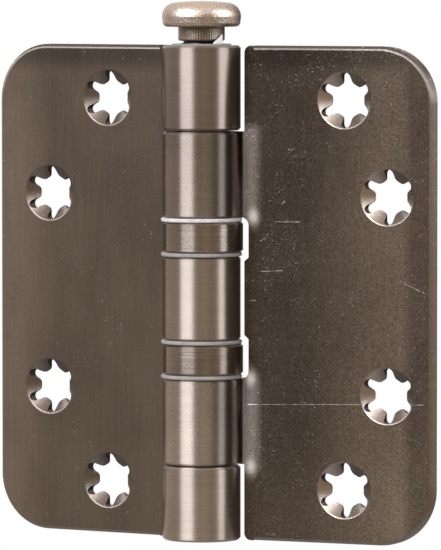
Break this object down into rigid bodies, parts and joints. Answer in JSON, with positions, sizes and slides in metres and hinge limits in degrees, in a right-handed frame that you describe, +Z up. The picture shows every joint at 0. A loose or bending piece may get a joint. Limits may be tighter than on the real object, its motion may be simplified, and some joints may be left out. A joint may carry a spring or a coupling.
{
  "type": "washered butt hinge",
  "caption": "Radius-corner washered butt hinge: two curled steel leaves, nylon and steel washer sets, petal-slotted countersunk screw holes and a lift-out mushroom-headed pin.",
  "frame": {"origin": "on the pin axis, at half the height of the leaves", "axes": "+Z up along the pin axis towards the pin's head, -X along the left leaf, which lies in the XZ plane, and -Y towards the countersunk faces"},
  "size_m": [0.1003, 0.0192, 0.1112],
  "materials": {
    "satin_stainless": "satin, vertically brushed leaves with light handling scratches",
    "cast_stainless": "cast and tumbled, speckled, fairly shiny",
    "turned_stainless": "turned, brushed round",
    "nylon": "natural translucent white nylon"
  },
  "bodies": {
    "left_leaf": {"left_leaf": "satin_stainless", "top_liner": "nylon", "bottom_liner": "nylon", "upper_washer_bottom_bush": "nylon", "lower_washer_top_bush": "nylon"},
    "right_leaf": {"right_leaf": "satin_stainless", "upper_washer_top_bush": "nylon", "lower_washer_bottom_bush": "nylon"},
    "pin": {"pin": "cast_stainless"},
    "upper_ring": {"upper_washer_ring": "turned_stainless"},
    "lower_ring": {"lower_washer_ring": "turned_stainless"}
  },
  "joints": [
    {"name": "leaf_swing", "type": "hinge", "parent": "left_leaf", "child": "right_leaf", "pos_m": [0, 0, 0], "axis": [0, 0, 1], "range_deg": [-187.3, 97.7]},
    {"name": "pin_slide", "type": "slide", "parent": "left_leaf", "child": "pin", "axis": [0, 0, 1], "range_m": [-0.0035, 0.098]},
    {"name": "upper_ring_spin", "type": "hinge", "parent": "left_leaf", "child": "upper_ring", "pos_m": [0.00026, 0.00015, 0.01161], "axis": [0, 0, 1], "continuous": true},
    {"name": "lower_ring_spin", "type": "hinge", "parent": "left_leaf", "child": "lower_ring", "pos_m": [0.00026, 0.00015, -0.01361], "axis": [0, 0, 1], "continuous": true}
  ]
}
